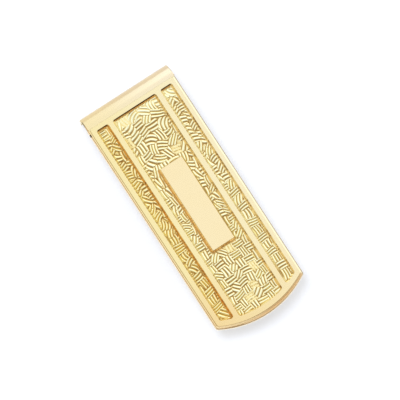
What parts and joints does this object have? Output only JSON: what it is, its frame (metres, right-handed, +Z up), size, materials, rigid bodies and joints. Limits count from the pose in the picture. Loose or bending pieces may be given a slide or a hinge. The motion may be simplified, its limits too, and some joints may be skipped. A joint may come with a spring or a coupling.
{
  "type": "hinged money clip",
  "caption": "Flat money clip: pierced plate over a basket-weave sheet with a smooth raised plaque, and a spring arm on a rolled hinge that presses notes against its back.",
  "frame": {"origin": "middle of the clip's footprint, on the surface it lies on when it rests on the back of its arm", "axes": "+X across the clip, +Y along it towards the hinge, +Z up through the decorated face"},
  "size_m": [0.02, 0.0508, 0.0054],
  "materials": {
    "polished_gold": "polished gold plate",
    "woven_gold": "patterned gold plate, basket-weave relief",
    "satin_gold": "satin gold plate",
    "pin_brass": "plain brass",
    "spring_steel": "bare spring steel"
  },
  "bodies": {
    "front": {"front_plate": "polished_gold", "woven_sheet": "woven_gold", "engraving_plaque": "polished_gold", "back_plate": "satin_gold", "hinge_pin": "pin_brass", "snap_spring": "spring_steel", "spring_rivet_left": "pin_brass", "spring_rivet_right": "pin_brass"},
    "arm": {"clip_arm": "satin_gold"}
  },
  "joints": [
    {"name": "arm_hinge", "type": "hinge", "parent": "front", "child": "arm", "pos_m": [0, 0.02265, 0.00265], "axis": [1, 0, 0], "range_deg": [0, 90], "stiffness_Nm_per_rad": 0.002, "springref_deg": -28.65, "deforming": ["snap_spring"]}
  ]
}
